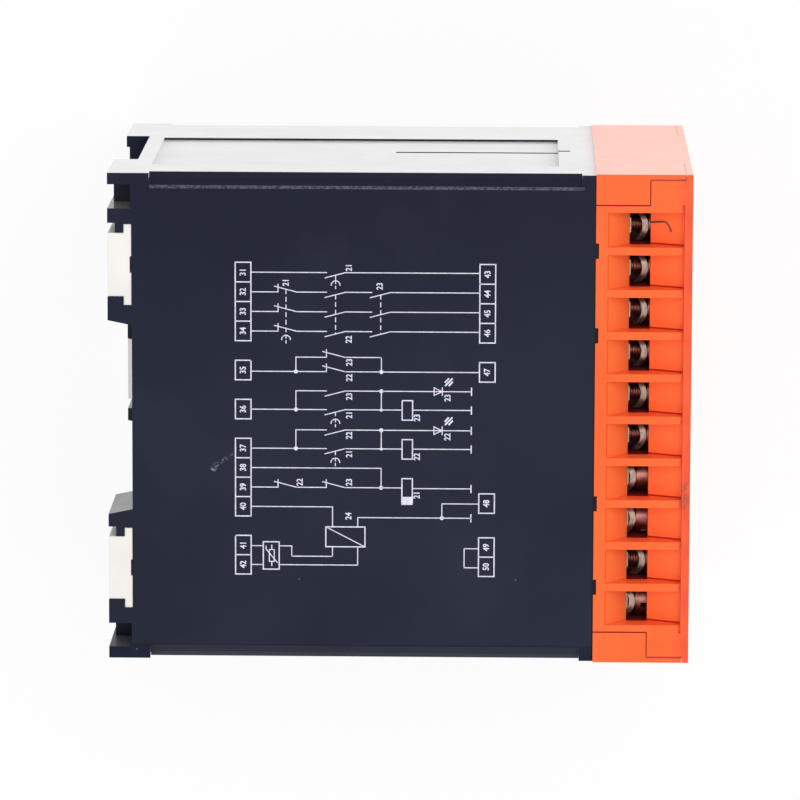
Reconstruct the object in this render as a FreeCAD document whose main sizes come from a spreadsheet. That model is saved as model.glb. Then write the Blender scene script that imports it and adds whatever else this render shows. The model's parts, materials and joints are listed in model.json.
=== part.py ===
"""Safety relay: a box-shaped control module that clips on a 35 mm top-hat rail.

Frame: X along the rail, -Y is the front with the terminals, +Y is the rail side, +Z up.
The origin is the centre of the bottom face. All lengths are in millimetres.
"""
import FreeCAD, Part
import math
import os
from types import SimpleNamespace

import Sketcher

SIZES = {
    # whole unit
    "unit_width": 90.0,
    "unit_height": 75.0,
    "shell_depth": 88.6,
    "front_depth": 17.5,
    "fit_gap": 0.1,
    # black shell
    "shell_inset": 0.2,
    "shell_drop": 0.1,
    "shell_wall": 2.0,
    "back_wall": 2.5,
    "edge_chamfer": 2.5,
    "chamfer_front_gap": 2.55,
    "chamfer_back_gap": 7.55,
    "label_depth": 0.4,
    "label_back_gap": 7.3,
    "label_length": 74.6,
    "label_low": 22.4,
    "label_width": 39.9,
    "side_slot_length": 32.5,
    "side_slot_width": 1.4,
    "side_slot_depth": 1.5,
    "side_slot_front_gap": 4.5,
    "side_slot_low": 38.8,
    "tab_width": 2.6,
    "tab_reach": 0.45,
    "tab_ways": 2.0,
    "rib_reach": 1.5,
    "rib_width": 1.5,
    "rib_front_gap": 6.0,
    # rail hooks
    "rail_width": 35.0,
    "hook_height": 4.4,
    "corner_wall": 2.1,
    "corner_pocket_width": 4.4,
    "corner_pocket_depth": 10.0,
    "corner_pocket_drop": 0.55,
    "corner_pocket_floor": 0.25,
    "guide_wide": 4.3,
    "guide_narrow": 2.35,
    "nib_width": 1.75,
    "nib_height": 1.5,
    "recess_slant": 0.9,
    # rail latches
    "latch_offset": 28.0,
    "latch_width": 11.6,
    "latch_height": 2.9,
    "flange_width": 14.8,
    "flange_height": 1.4,
    "latch_clearance": 0.1,
    "latch_end_gap": 0.3,
    "nose_reach": 2.0,
    "nose_lip": 0.6,
    "rail_thickness": 1.0,
    "pry_notch_width": 3.0,
    "pry_notch_depth": 0.3,
    "pry_notch_length": 4.0,
    # orange terminal strips
    "ways": 10.0,
    "way_pitch": 7.75,
    "bar_width": 1.45,
    "strip_height": 16.0,
    "strip_floor": 2.3,
    "strip_side": 5.65,
    "strip_step": 7.65,
    "cover_skin": 0.9,
    "strip_front_plate": 1.2,
    "funnel_front": 1.5,
    "funnel_back": 15.4,
    "funnel_drop": 1.75,
    "front_floor_depth": 4.7,
    "rear_floor_depth": 5.8,
    "slot_front": 7.55,
    "slot_back": 11.3,
    "bar_groove_width": 0.4,
    "bar_groove_depth": 0.6,
    "tunnel_height": 7.05,
    "tunnel_rise_start": 1.2,
    "tunnel_slope_depth": 2.7,
    "tunnel_lip": 2.3,
    "driver_bore": 6.1,
    "screw_depth": 9.5,
    # terminal screws and clamping washers
    "head_diameter": 5.8,
    "head_height": 2.2,
    "thread_diameter": 3.4,
    "thread_length": 8.0,
    "thread_clearance": 0.1,
    "driver_slot_width": 0.9,
    "driver_slot_depth": 1.2,
    "washer_width": 6.1,
    "washer_corner": 1.6,
    "washer_arch": 1.5,
    "washer_thickness": 1.1,
    "washer_open_depth": 7.9,
    "screw_travel": 1.8,
    "head_gap": 0.05,
    # contact plates
    "contact_depth": 11.05,
    "contact_thickness": 1.0,
    "contact_height": 7.0,
    "contact_leg_width": 5.0,
    "contact_leg_length": 11.0,
    # front wall and light guide
    "front_wall": 2.0,
    "cover_side_wall": 1.6,
    "lens_offset": 28.6,
    "lens_width": 2.4,
    "lens_height": 3.2,
    "lens_proud": 0.5,
    "lens_spacing": 9.0,
    "lens_bar_width": 4.0,
    "lens_bar_height": 22.0,
    "lens_bar_thickness": 1.2,
    # circuit boards and what they carry
    "board_thickness": 1.6,
    "board_front_gap": 0.5,
    "riser_width": 52.0,
    "riser_thickness": 1.6,
    "riser_back_gap": 6.0,
    "relay_width": 16.5,
    "relay_length": 55.0,
    "relay_height": 26.0,
    "relay_pitch": 18.0,
    "relay_first": -4.0,
    "relay_front_gap": 12.0,
    "case_corner": 0.6,
    "transformer_width": 26.0,
    "transformer_length": 36.0,
    "transformer_height": 30.0,
    "transformer_centre": -28.0,
    "transformer_core_width": 12.0,
    "transformer_core_rise": 2.0,
    "capacitor_diameter": 12.5,
    "capacitor_height": 25.0,
    "capacitor_gap": 4.0,
    "varistor_diameter": 12.0,
    "varistor_thickness": 4.5,
    "varistor_flat": 0.8,
}

LOOSE_WAYS_TOP = (1, 2, 3, 4, 5, 6, 9)
SCREW_TURNS = (0, 40, 110, 75, 150, 20, 95)
ARCH_FOLDS = ((0.4, 0.0), (0.75, 0.45), (1.0, 1.0))
CUT_SHARE = (1 - math.tan(math.pi / 8)) / 2
PLANE_SIGN = {"XY": 1, "XZ": -1, "YZ": 1}
ACROSS = {"XY": "Z", "XZ": "Y", "YZ": "X"}


class Size:
    """A number that keeps the spreadsheet expression it is worked out from."""

    def __init__(self, value, text):
        self.value = float(value)
        self.text = text

    def __add__(self, other):
        other = sized(other)
        return Size(self.value + other.value, f"({self.text} + {other.text})")

    def __radd__(self, other):
        return sized(other) + self

    def __sub__(self, other):
        other = sized(other)
        return Size(self.value - other.value, f"({self.text} - {other.text})")

    def __rsub__(self, other):
        return sized(other) - self

    def __mul__(self, other):
        other = sized(other)
        return Size(self.value * other.value, f"({self.text} * {other.text})")

    def __rmul__(self, other):
        return sized(other) * self

    def __truediv__(self, other):
        other = sized(other)
        return Size(self.value / other.value, f"({self.text} / {other.text})")

    def __neg__(self):
        return sized(0) - self


def sized(number):
    """Return number as a Size, so that plain numbers and sheet sizes mix."""
    if isinstance(number, Size):
        return number
    return Size(number, f"({number})")


def write_sheet(doc):
    """Put the driving dimensions in a spreadsheet and return them as named sizes."""
    sheet = doc.addObject("Spreadsheet::Sheet", "Sizes")
    named = {}
    for row, (alias, value) in enumerate(SIZES.items(), start=1):
        sheet.set(f"A{row}", alias.replace("_", " "))
        sheet.set(f"B{row}", str(value))
        sheet.setAlias(f"B{row}", alias)
        named[alias] = Size(value, f"Sizes.{alias}")
    doc.recompute()
    return SimpleNamespace(**named)


def bind(thing, prop, size):
    """Tie a property to the spreadsheet."""
    thing.setExpression(prop, sized(size).text)


def new_body(label):
    body = DOC.addObject("PartDesign::Body", label)
    body.Label = label
    body.AllowCompound = True
    return body


def place(body, x=0, y=0, z=0, turn=0):
    """Move a body by x, y, z after turning it by turn degrees about the Y axis."""
    body.Placement = FreeCAD.Placement(FreeCAD.Vector(), FreeCAD.Rotation(FreeCAD.Vector(0, 1, 0), turn))
    bind(body, "Placement.Base.x", x)
    bind(body, "Placement.Base.y", y)
    bind(body, "Placement.Base.z", z)


def add_sketch(body, name, plane, at):
    """Open a sketch on one of the body's origin planes, moved to the coordinate at."""
    sketch = body.newObject("Sketcher::SketchObject", name)
    origin_plane = [item for item in body.Origin.OriginFeatures if item.Role == f"{plane}_Plane"]
    sketch.AttachmentSupport = [(origin_plane[0], "")]
    sketch.MapMode = "FlatFace"
    bind(sketch, "AttachmentOffset.Base.z", PLANE_SIGN[plane] * sized(at))
    return sketch


def pin_point(sketch, geometry, end, point):
    """Fix one end of a sketch line or arc at point, measured from the sketch's origin."""
    for kind, size in zip(("DistanceX", "DistanceY"), point):
        size = sized(size)
        index = sketch.addConstraint(Sketcher.Constraint(kind, -1, 1, geometry, end, size.value))
        bind(sketch, f"Constraints[{index}]", size)


def draw_polygon(sketch, points):
    """Draw a closed outline of straight lines with every corner bound to its sizes."""
    corners = [FreeCAD.Vector(sized(a).value, sized(b).value, 0) for a, b in points]
    first = sketch.GeometryCount
    count = len(corners)
    for index in range(count):
        sketch.addGeometry(Part.LineSegment(corners[index], corners[(index + 1) % count]), False)
    for index in range(count):
        following = first + (index + 1) % count
        sketch.addConstraint(Sketcher.Constraint("Coincident", first + index, 2, following, 1))
    for index in range(count):
        pin_point(sketch, first + index, 1, points[index])


def draw_circle(sketch, centre, diameter):
    """Draw a circle with its centre and diameter bound."""
    middle = FreeCAD.Vector(sized(centre[0]).value, sized(centre[1]).value, 0)
    circle = Part.Circle(middle, FreeCAD.Vector(0, 0, 1), diameter.value / 2)
    geometry = sketch.addGeometry(circle, False)
    pin_point(sketch, geometry, 3, centre)
    index = sketch.addConstraint(Sketcher.Constraint("Diameter", geometry, diameter.value))
    bind(sketch, f"Constraints[{index}]", diameter)


def arch_outline(crest, half_width, rise, thickness):
    """Outline of a strip bent into an arch in flats, convex towards -Y, its crest at y = crest."""
    right = [(across * half_width, crest + up * rise) for across, up in ARCH_FOLDS]
    front = [(-x, y) for x, y in reversed(right)] + right
    return front + [(x, y + thickness) for x, y in reversed(front)]


def octagon(half_width, corner):
    """Outline of a square with cut corners round the sketch's origin."""
    flat = half_width - corner
    right = [(flat, -half_width), (half_width, -flat), (half_width, flat), (flat, half_width)]
    return right + [(-x, -y) for x, y in right]


def octagonal_hole(diameter):
    """Eight-sided outline just outside a circle; it keeps the repeated pieces light."""
    return octagon(diameter / 2, diameter * CUT_SHARE)


def extrude(body, kind, name, sketch, length, towards):
    """Pad or pocket a sketch over length along its plane's world axis, towards +1 or -1."""
    plane = [key for key in PLANE_SIGN if sketch.AttachmentSupport[0][0].Role.startswith(key)][0]
    feature = body.newObject(f"PartDesign::{kind}", name)
    feature.Profile = sketch
    bind(feature, "Length", length)
    along_normal = towards * PLANE_SIGN[plane] > 0
    feature.Reversed = along_normal if kind == "Pocket" else not along_normal
    body.Tip = feature
    return feature


def solid_step(body, kind, name, plane, at, outlines, length, towards=1):
    """Sketch closed outlines on a plane and pad or pocket them."""
    sketch = add_sketch(body, f"{body.Label}_{name}_sketch", plane, at)
    for outline in outlines:
        draw_polygon(sketch, outline)
    return extrude(body, kind, f"{body.Label}_{name}", sketch, length, towards)


def round_step(body, kind, name, plane, at, centre, diameter, length, towards=1):
    """Sketch one circle on a plane and pad or pocket it."""
    sketch = add_sketch(body, f"{body.Label}_{name}_sketch", plane, at)
    draw_circle(sketch, centre, diameter)
    return extrude(body, kind, f"{body.Label}_{name}", sketch, length, towards)


def repeat_along_x(body, name, features, pitch, count):
    """Repeat features along the rail, one every pitch."""
    pattern = body.newObject("PartDesign::LinearPattern", f"{body.Label}_{name}")
    pattern.Originals = features
    axis = [item for item in body.Origin.OriginFeatures if item.Role == "X_Axis"]
    pattern.Direction = (axis[0], [""])
    pattern.Mode = "Spacing"
    bind(pattern, "Offset", pitch)
    bind(pattern, "Occurrences", count)
    body.Tip = pattern


def rectangle(low_a, high_a, low_b, high_b):
    return [(low_a, low_b), (high_a, low_b), (high_a, high_b), (low_a, high_b)]


DOC = FreeCAD.newDocument("safety_relay")
S = write_sheet(DOC)

BACK = (S.shell_depth + S.front_depth + S.lens_proud) / 2
SEAM = BACK - S.shell_depth
FRONT = SEAM - S.front_depth
SEAT = BACK - S.hook_height
SHELL_TOP = S.unit_height - S.shell_drop
MID_Z = S.unit_height / 2
RAIL_TOP = MID_Z + S.rail_width / 2
RAIL_BOTTOM = MID_Z - S.rail_width / 2
HALF_WIDTH = S.unit_width / 2
SHELL_HALF = HALF_WIDTH - S.shell_inset
CAVITY_HALF = SHELL_HALF - S.shell_wall
CAVITY_BACK = SEAT - S.back_wall
POCKET_OUT = SHELL_HALF - S.corner_wall
POCKET_IN = POCKET_OUT - S.corner_pocket_width
STRIP_BASE = S.unit_height - S.strip_height
WAY_FLOOR = STRIP_BASE + S.strip_floor
WAY_HALF = (S.way_pitch - S.bar_width) / 2
FIRST_WAY = -S.way_pitch * (S.ways - 1) / 2
SCREW_Z = S.unit_height - S.screw_depth
CONTACT_Y = FRONT + S.contact_depth
LOW_BOARD_TOP = S.unit_height - WAY_FLOOR + S.board_thickness
FLANGE_TOP = S.flange_height + S.latch_clearance
BODY_SLOT_HALF = S.latch_width / 2 + S.latch_clearance
FLANGE_SLOT_HALF = S.flange_width / 2 + S.latch_clearance
NIB_SIDE = BODY_SLOT_HALF + S.nib_width


def latch_slot(centre, side):
    """Outline of a latch's T-shaped track across the hooks; side is the nib's side."""
    across_and_up = [
        (-FLANGE_SLOT_HALF, sized(0)),
        (-FLANGE_SLOT_HALF, FLANGE_TOP),
        (-BODY_SLOT_HALF, FLANGE_TOP),
        (-BODY_SLOT_HALF, S.hook_height),
        (NIB_SIDE, S.hook_height),
        (NIB_SIDE, FLANGE_TOP + S.nib_height),
        (BODY_SLOT_HALF, FLANGE_TOP + S.nib_height),
        (BODY_SLOT_HALF, FLANGE_TOP),
        (FLANGE_SLOT_HALF, FLANGE_TOP),
        (FLANGE_SLOT_HALF, sized(0)),
    ]
    return [(centre + side * across, SEAT + up) for across, up in across_and_up]


def hook_recess(low, high):
    """Outline of a gap between two hooks, narrower at the seat than at the tips."""
    return [(low, BACK), (low + S.recess_slant, SEAT), (high - S.recess_slant, SEAT), (high, BACK)]


def make_housing():
    """Black shell, open at the front, with the rail hooks moulded on its back."""
    body = new_body("housing")
    section = rectangle(-SHELL_HALF, SHELL_HALF, 0, SHELL_TOP)
    solid_step(body, "Pad", "block", "XZ", SEAM, [section], S.shell_depth)
    corners = []
    for side in (-1, 1):
        for level, inward in ((sized(0), 1), (SHELL_TOP, -1)):
            edge = side * SHELL_HALF
            corners.append([
                (edge, level),
                (edge, level + inward * S.edge_chamfer),
                (edge - side * S.edge_chamfer, level),
            ])
    chamfer_length = S.shell_depth - S.chamfer_front_gap - S.chamfer_back_gap
    solid_step(body, "Pocket", "edge_chamfers", "XZ", SEAM + S.chamfer_front_gap, corners, chamfer_length)
    inside = rectangle(-CAVITY_HALF, CAVITY_HALF, S.shell_wall, SHELL_TOP - S.shell_wall)
    solid_step(body, "Pocket", "cavity", "XZ", SEAM, [inside], CAVITY_BACK - SEAM)
    rail = rectangle(SEAT, BACK, RAIL_BOTTOM, RAIL_TOP)
    solid_step(body, "Pocket", "rail_notch", "YZ", -SHELL_HALF, [rail], 2 * SHELL_HALF)
    make_hook_rows(body)
    make_label_recesses(body)
    make_board_ribs(body)
    make_front_tabs(body)
    return body


def make_hook_rows(body):
    """Cut latch tracks, recesses and corner pockets through both rows of rail hooks."""
    offset = S.latch_offset
    top_low = -offset + NIB_SIDE + S.guide_narrow
    top_high = offset - BODY_SLOT_HALF - S.guide_wide
    top = [latch_slot(offset, 1), latch_slot(-offset, 1), hook_recess(top_low, top_high)]
    solid_step(body, "Pocket", "top_tracks", "XY", SHELL_TOP, top, SHELL_TOP - RAIL_TOP, -1)
    bottom_low = -POCKET_IN + S.guide_narrow
    bottom_high = POCKET_IN - S.guide_narrow
    left_guide = -NIB_SIDE - S.guide_narrow
    right_guide = BODY_SLOT_HALF + S.guide_wide
    bottom = [
        latch_slot(sized(0), -1),
        hook_recess(bottom_low, left_guide),
        hook_recess(right_guide, bottom_high),
    ]
    solid_step(body, "Pocket", "bottom_tracks", "XY", 0, bottom, RAIL_BOTTOM)
    for name, low_y, depth in (
        ("pockets", SEAT + S.corner_pocket_floor, S.corner_pocket_depth),
        ("pocket_drops", BACK - S.corner_pocket_drop, RAIL_BOTTOM),
    ):
        pair = [rectangle(-POCKET_OUT, -POCKET_IN, low_y, BACK), rectangle(POCKET_IN, POCKET_OUT, low_y, BACK)]
        solid_step(body, "Pocket", f"top_{name}", "XY", SHELL_TOP, pair, depth, -1)
        solid_step(body, "Pocket", f"bottom_{name}", "XY", 0, pair, depth)


def make_label_recesses(body):
    """Shallow label fields on both side faces, each with a narrow slot along its middle."""
    high_y = BACK - S.label_back_gap
    field = rectangle(high_y - S.label_length, high_y, S.label_low, S.label_low + S.label_width)
    solid_step(body, "Pocket", "right_label", "YZ", SHELL_HALF, [field], S.label_depth, -1)
    solid_step(body, "Pocket", "left_label", "YZ", -SHELL_HALF, [field], S.label_depth)
    low_y = SEAM + S.side_slot_front_gap
    high_z = S.side_slot_low + S.side_slot_width
    slot = rectangle(low_y, low_y + S.side_slot_length, S.side_slot_low, high_z)
    solid_step(body, "Pocket", "right_slot", "YZ", SHELL_HALF, [slot], S.side_slot_depth, -1)
    solid_step(body, "Pocket", "left_slot", "YZ", -SHELL_HALF, [slot], S.side_slot_depth)


def make_board_ribs(body):
    """Pairs of ribs inside both side walls; each pair holds the edge of a circuit board."""
    outlines = []
    for side in (-1, 1):
        wall = side * CAVITY_HALF
        inner = side * (CAVITY_HALF - S.rib_reach)
        for low in (WAY_FLOOR - S.board_thickness, LOW_BOARD_TOP - S.board_thickness):
            above = low + S.board_thickness + S.fit_gap
            below = low - S.fit_gap - S.rib_width
            outlines.append(rectangle(wall, inner, above, above + S.rib_width))
            outlines.append(rectangle(wall, inner, below, below + S.rib_width))
    start = SEAM + S.rib_front_gap
    solid_step(body, "Pad", "board_ribs", "XZ", start, outlines, CAVITY_BACK - start)


def make_front_tabs(body):
    """Small tabs on the shell's front edge that reach into the terminal strips."""
    outlines = []
    for place_in_ways in (-2, -1, 1, 2):
        centre = place_in_ways * S.tab_ways * S.way_pitch
        for low in (sized(0), SHELL_TOP - S.shell_wall):
            low_x = centre - S.tab_width / 2
            outlines.append(rectangle(low_x, low_x + S.tab_width, low, low + S.shell_wall))
    solid_step(body, "Pad", "front_tabs", "XZ", SEAM, outlines, S.tab_reach, -1)


def strip_outline(gap):
    """Outline of a terminal strip seen from above, grown by gap on its sides."""
    rear_half = HALF_WIDTH - S.strip_side + gap
    step_half = HALF_WIDTH - S.cover_skin + gap
    step_y = FRONT + S.strip_step + gap
    plate_y = FRONT + S.strip_front_plate + gap
    right = [
        (rear_half, SEAM),
        (rear_half, step_y),
        (step_half, step_y),
        (step_half, plate_y),
        (HALF_WIDTH, plate_y),
        (HALF_WIDTH, FRONT),
    ]
    return right + [(-x, y) for x, y in reversed(right)]


def make_terminal_strip(label, top):
    """Orange strip of wire entries: funnels above, screwdriver bores in front."""
    body = new_body(label)
    solid_step(body, "Pad", "block", "XY", STRIP_BASE, [strip_outline(sized(0))], S.strip_height)
    funnel_front = FRONT + S.funnel_front
    slot_front = FRONT + S.slot_front
    slot_back = FRONT + S.slot_back
    funnel = [
        (funnel_front, S.unit_height),
        (funnel_front, S.unit_height - S.funnel_drop),
        (slot_front, S.unit_height - S.front_floor_depth),
        (slot_front, WAY_FLOOR),
        (slot_back, WAY_FLOOR),
        (slot_back, S.unit_height - S.rear_floor_depth),
        (FRONT + S.funnel_back, S.unit_height),
    ]
    ceiling = WAY_FLOOR + S.tunnel_height
    tunnel = [
        (slot_back, WAY_FLOOR),
        (SEAM, WAY_FLOOR),
        (SEAM, S.unit_height - S.tunnel_lip),
        (slot_back + S.tunnel_rise_start + S.tunnel_slope_depth, S.unit_height - S.tunnel_lip),
        (slot_back + S.tunnel_rise_start, ceiling),
        (slot_back, ceiling),
    ]
    low_x = FIRST_WAY - WAY_HALF
    features = [
        solid_step(body, "Pocket", "funnel", "YZ", low_x, [funnel], 2 * WAY_HALF),
        solid_step(body, "Pocket", "tunnel", "YZ", low_x, [tunnel], 2 * WAY_HALF),
        round_step(body, "Pocket", "bore", "XZ", FRONT, (FIRST_WAY, SCREW_Z), S.driver_bore, S.slot_front),
    ]
    repeat_along_x(body, "ways", features, S.way_pitch, S.ways)
    groove_half = -FIRST_WAY + S.way_pitch / 2 + S.bar_width / 2
    groove = rectangle(-groove_half, groove_half, funnel_front, funnel_front + S.bar_groove_width)
    solid_step(body, "Pocket", "bar_groove", "XY", S.unit_height, [groove], S.bar_groove_depth, -1)
    notches = []
    for place_in_ways in (-2, -1, 1, 2):
        centre = place_in_ways * S.tab_ways * S.way_pitch
        half = S.tab_width / 2 + S.fit_gap
        notches.append(rectangle(centre - half, centre + half, SEAM - S.tab_reach - S.fit_gap, SEAM))
    notch_depth = S.shell_wall + S.shell_drop + S.fit_gap
    solid_step(body, "Pocket", "tab_notches", "XY", S.unit_height, notches, notch_depth, -1)
    if not top:
        place(body, z=S.unit_height, turn=180)
    return body


def make_front_cover():
    """Orange cover: the front wall between the strips and the two closed ends."""
    body = new_body("front_cover")
    section = rectangle(-HALF_WIDTH, HALF_WIDTH, 0, S.unit_height)
    solid_step(body, "Pad", "block", "XZ", FRONT, [section], S.front_depth)
    outline = strip_outline(S.fit_gap)
    depth = S.strip_height + S.fit_gap
    solid_step(body, "Pocket", "top_strip_seat", "XY", S.unit_height, [outline], depth, -1)
    solid_step(body, "Pocket", "bottom_strip_seat", "XY", 0, [outline], depth)
    inner_half = HALF_WIDTH - S.cover_side_wall
    low = S.strip_height + S.fit_gap
    inside = rectangle(-inner_half, inner_half, low, S.unit_height - low)
    wall_back = FRONT + S.front_wall
    solid_step(body, "Pocket", "inside", "XZ", wall_back, [inside], SEAM - wall_back)
    solid_step(body, "Pocket", "light_windows", "XZ", FRONT, lens_outlines(S.fit_gap), S.front_wall)
    return body


def lens_outlines(gap):
    """Three small oblong outlines, one above the other, grown by gap all round."""
    half_width = S.lens_width / 2 + gap
    half_height = S.lens_height / 2 + gap
    outlines = []
    for index in (-1, 0, 1):
        centre_z = MID_Z + index * S.lens_spacing
        outlines.append(rectangle(-S.lens_offset - half_width, -S.lens_offset + half_width,
                                  centre_z - half_height, centre_z + half_height))
    return outlines


def make_light_guide():
    """Clear bar behind the front wall with three oblong lenses that show the status lights."""
    body = new_body("light_guide")
    wall_back = FRONT + S.front_wall
    low_x = -S.lens_offset - S.lens_bar_width / 2
    low_z = MID_Z - S.lens_bar_height / 2
    bar = rectangle(low_x, low_x + S.lens_bar_width, low_z, low_z + S.lens_bar_height)
    solid_step(body, "Pad", "bar", "XZ", wall_back, [bar], S.lens_bar_thickness)
    reach = S.front_wall + S.lens_proud
    solid_step(body, "Pad", "lenses", "XZ", wall_back, lens_outlines(sized(0)), reach, -1)
    return body


def make_latch(label, x, top):
    """Cream slide that grips the rail's edge; it moves away from the rail."""
    body = new_body(label)
    rail_side = RAIL_TOP + S.latch_clearance
    outer_end = S.unit_height - S.latch_end_gap
    half_body = S.latch_width / 2
    half_flange = S.flange_width / 2
    base_y = SEAT + S.latch_clearance / 2
    flange_y = base_y + S.flange_height
    tip_y = flange_y + S.latch_height
    section = [
        (-half_flange, base_y),
        (half_flange, base_y),
        (half_flange, flange_y),
        (half_body, flange_y),
        (half_body, tip_y),
        (-half_body, tip_y),
        (-half_body, flange_y),
        (-half_flange, flange_y),
    ]
    solid_step(body, "Pad", "slide", "XY", rail_side, [section], outer_end - rail_side)
    nose_y = SEAT + S.rail_thickness + S.latch_clearance
    nose_z = RAIL_TOP - S.nose_reach
    nose = [
        (nose_y, rail_side),
        (nose_y, nose_z),
        (nose_y + S.nose_lip, nose_z),
        (tip_y, rail_side),
    ]
    solid_step(body, "Pad", "nose", "YZ", -half_body, [nose], S.latch_width)
    half_notch = S.pry_notch_width / 2
    notch = rectangle(-half_notch, half_notch, base_y, base_y + S.pry_notch_depth)
    solid_step(body, "Pocket", "pry_notch", "XY", outer_end, [notch], S.pry_notch_length, -1)
    if top:
        place(body, x=x)
    else:
        place(body, x=x, z=S.unit_height, turn=180)
    return body


def make_board(label, top):
    """Circuit board held by the ribs of the shell, under the contact plates' legs."""
    body = new_body(label)
    half = CAVITY_HALF - S.fit_gap
    outline = rectangle(-half, half, SEAM + S.board_front_gap, CAVITY_BACK - S.fit_gap)
    solid_step(body, "Pad", "plate", "XY", WAY_FLOOR - S.board_thickness, [outline], S.board_thickness)
    if not top:
        place(body, z=S.unit_height, turn=180)
    return body


def make_contact_plates(label, top):
    """Row of arched contact plates, one for each terminal, with legs on the board."""
    body = new_body(label)
    profile = arch_outline(CONTACT_Y, S.washer_width / 2, S.washer_arch, S.contact_thickness)
    arch = solid_step(body, "Pad", "arch", "XY", WAY_FLOOR, [profile], S.contact_height)
    leg_start = CONTACT_Y + S.contact_thickness / 2
    half = S.contact_leg_width / 2
    outline = rectangle(-half, half, leg_start, leg_start + S.contact_leg_length)
    leg = solid_step(body, "Pad", "leg", "XY", WAY_FLOOR, [outline], S.contact_thickness)
    outline = [(x, SCREW_Z + z) for x, z in octagonal_hole(S.thread_diameter + 2 * S.thread_clearance)]
    depth = S.washer_arch + S.contact_thickness
    hole = solid_step(body, "Pocket", "hole", "XZ", CONTACT_Y, [outline], depth)
    repeat_along_x(body, "row", [arch, leg, hole], S.way_pitch, S.ways)
    if top:
        place(body, x=FIRST_WAY)
    else:
        place(body, x=-FIRST_WAY, z=S.unit_height, turn=180)
    return body


def way_place(way, top, loose):
    """Where the crest of a way's washer is: x, y and z."""
    x = -FIRST_WAY - (way - 1) * S.way_pitch
    y = FRONT + S.washer_open_depth + (0 if loose else S.screw_travel)
    z = SCREW_Z if top else S.unit_height - SCREW_Z
    return x, y, z


def make_clamp(label, way, top, loose):
    """Arched washer with cut corners that presses the wire on the contact plate."""
    body = new_body(label)
    half = S.washer_width / 2
    profile = arch_outline(sized(0), half, S.washer_arch, S.washer_thickness)
    solid_step(body, "Pad", "arch", "XY", -half, [profile], S.washer_width)
    depth = S.washer_arch + S.washer_thickness
    around = rectangle(-S.washer_width, S.washer_width, -S.washer_width, S.washer_width)
    trim = [around, octagon(half, S.washer_corner)]
    solid_step(body, "Pocket", "corners", "XZ", 0, trim, depth)
    hole = octagonal_hole(S.thread_diameter + 2 * S.thread_clearance)
    solid_step(body, "Pocket", "hole", "XZ", 0, [hole], depth)
    x, y, z = way_place(way, top, loose)
    place(body, x, y, z)
    return body


def make_screw(label, way, top, loose):
    """Terminal screw with a slotted head, turned round the Y axis."""
    body = new_body(label)
    head = S.head_diameter / 2
    thread = S.thread_diameter / 2
    sketch = add_sketch(body, f"{label}_profile_sketch", "YZ", 0)
    draw_polygon(sketch, [
        (-S.head_height, 0),
        (-S.head_height, head),
        (0, head),
        (0, thread),
        (S.thread_length, thread),
        (S.thread_length, 0),
    ])
    turned = body.newObject("PartDesign::Revolution", f"{label}_turned")
    turned.Profile = sketch
    turned.ReferenceAxis = (sketch, ["H_Axis"])
    turned.Angle = 360
    body.Tip = turned
    half = S.driver_slot_width / 2
    slot = rectangle(-head, head, -half, half)
    solid_step(body, "Pocket", "slot", "XZ", -S.head_height, [slot], S.driver_slot_depth)
    x, y, z = way_place(way, top, loose)
    place(body, x, y - S.head_gap, z, turn=SCREW_TURNS[way % len(SCREW_TURNS)])
    return body


def make_block(label, low_x, low_y, width, length, height):
    """Moulded component that stands on the lower board, its upright edges cut off."""
    body = new_body(label)
    corner = S.case_corner
    high_x = low_x + width
    high_y = low_y + length
    outline = [
        (low_x + corner, low_y),
        (high_x - corner, low_y),
        (high_x, low_y + corner),
        (high_x, high_y - corner),
        (high_x - corner, high_y),
        (low_x + corner, high_y),
        (low_x, high_y - corner),
        (low_x, low_y + corner),
    ]
    solid_step(body, "Pad", "case", "XY", LOW_BOARD_TOP, [outline], height)
    return body


def make_transformer():
    """Supply transformer: a potted winding with its iron core standing proud on top."""
    low_x = S.transformer_centre - S.transformer_width / 2
    low_y = SEAM + S.relay_front_gap
    body = make_block("transformer", low_x, low_y, S.transformer_width, S.transformer_length,
                      S.transformer_height)
    core_x = S.transformer_centre - S.transformer_core_width / 2
    core = rectangle(core_x, core_x + S.transformer_core_width, low_y, low_y + S.transformer_length)
    top = LOW_BOARD_TOP + S.transformer_height
    solid_step(body, "Pad", "core", "XY", top, [core], S.transformer_core_rise)
    return body


def make_capacitor():
    """Upright smoothing capacitor behind the transformer."""
    body = new_body("capacitor")
    centre_y = SEAM + S.relay_front_gap + S.transformer_length + S.capacitor_gap + S.capacitor_diameter / 2
    centre = (S.transformer_centre + S.capacitor_diameter / 2, centre_y)
    round_step(body, "Pad", "can", "XY", LOW_BOARD_TOP, centre, S.capacitor_diameter, S.capacitor_height)
    return body


def make_varistor():
    """Round varistor that stands on a flat beside the capacitor."""
    body = new_body("varistor")
    low_x = S.transformer_centre - S.varistor_thickness - S.capacitor_gap
    centre_y = SEAM + S.relay_front_gap + S.transformer_length + S.capacitor_gap + S.varistor_diameter / 2
    centre_z = LOW_BOARD_TOP + S.varistor_diameter / 2 - S.varistor_flat
    round_step(body, "Pad", "disc", "YZ", low_x, (centre_y, centre_z), S.varistor_diameter,
               S.varistor_thickness)
    half = S.varistor_diameter / 2
    under = rectangle(centre_y - half, centre_y + half, LOW_BOARD_TOP - S.varistor_flat, LOW_BOARD_TOP)
    solid_step(body, "Pocket", "foot", "YZ", low_x, [under], S.varistor_thickness)
    return body


def make_riser_card():
    """Upright card that joins the two circuit boards behind the relays."""
    body = new_body("riser_card")
    half = S.riser_width / 2
    back = CAVITY_BACK - S.riser_back_gap
    low = LOW_BOARD_TOP
    high = WAY_FLOOR - S.board_thickness
    outline = rectangle(-half, half, low, high)
    solid_step(body, "Pad", "card", "XZ", back - S.riser_thickness, [outline], S.riser_thickness)
    return body


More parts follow.
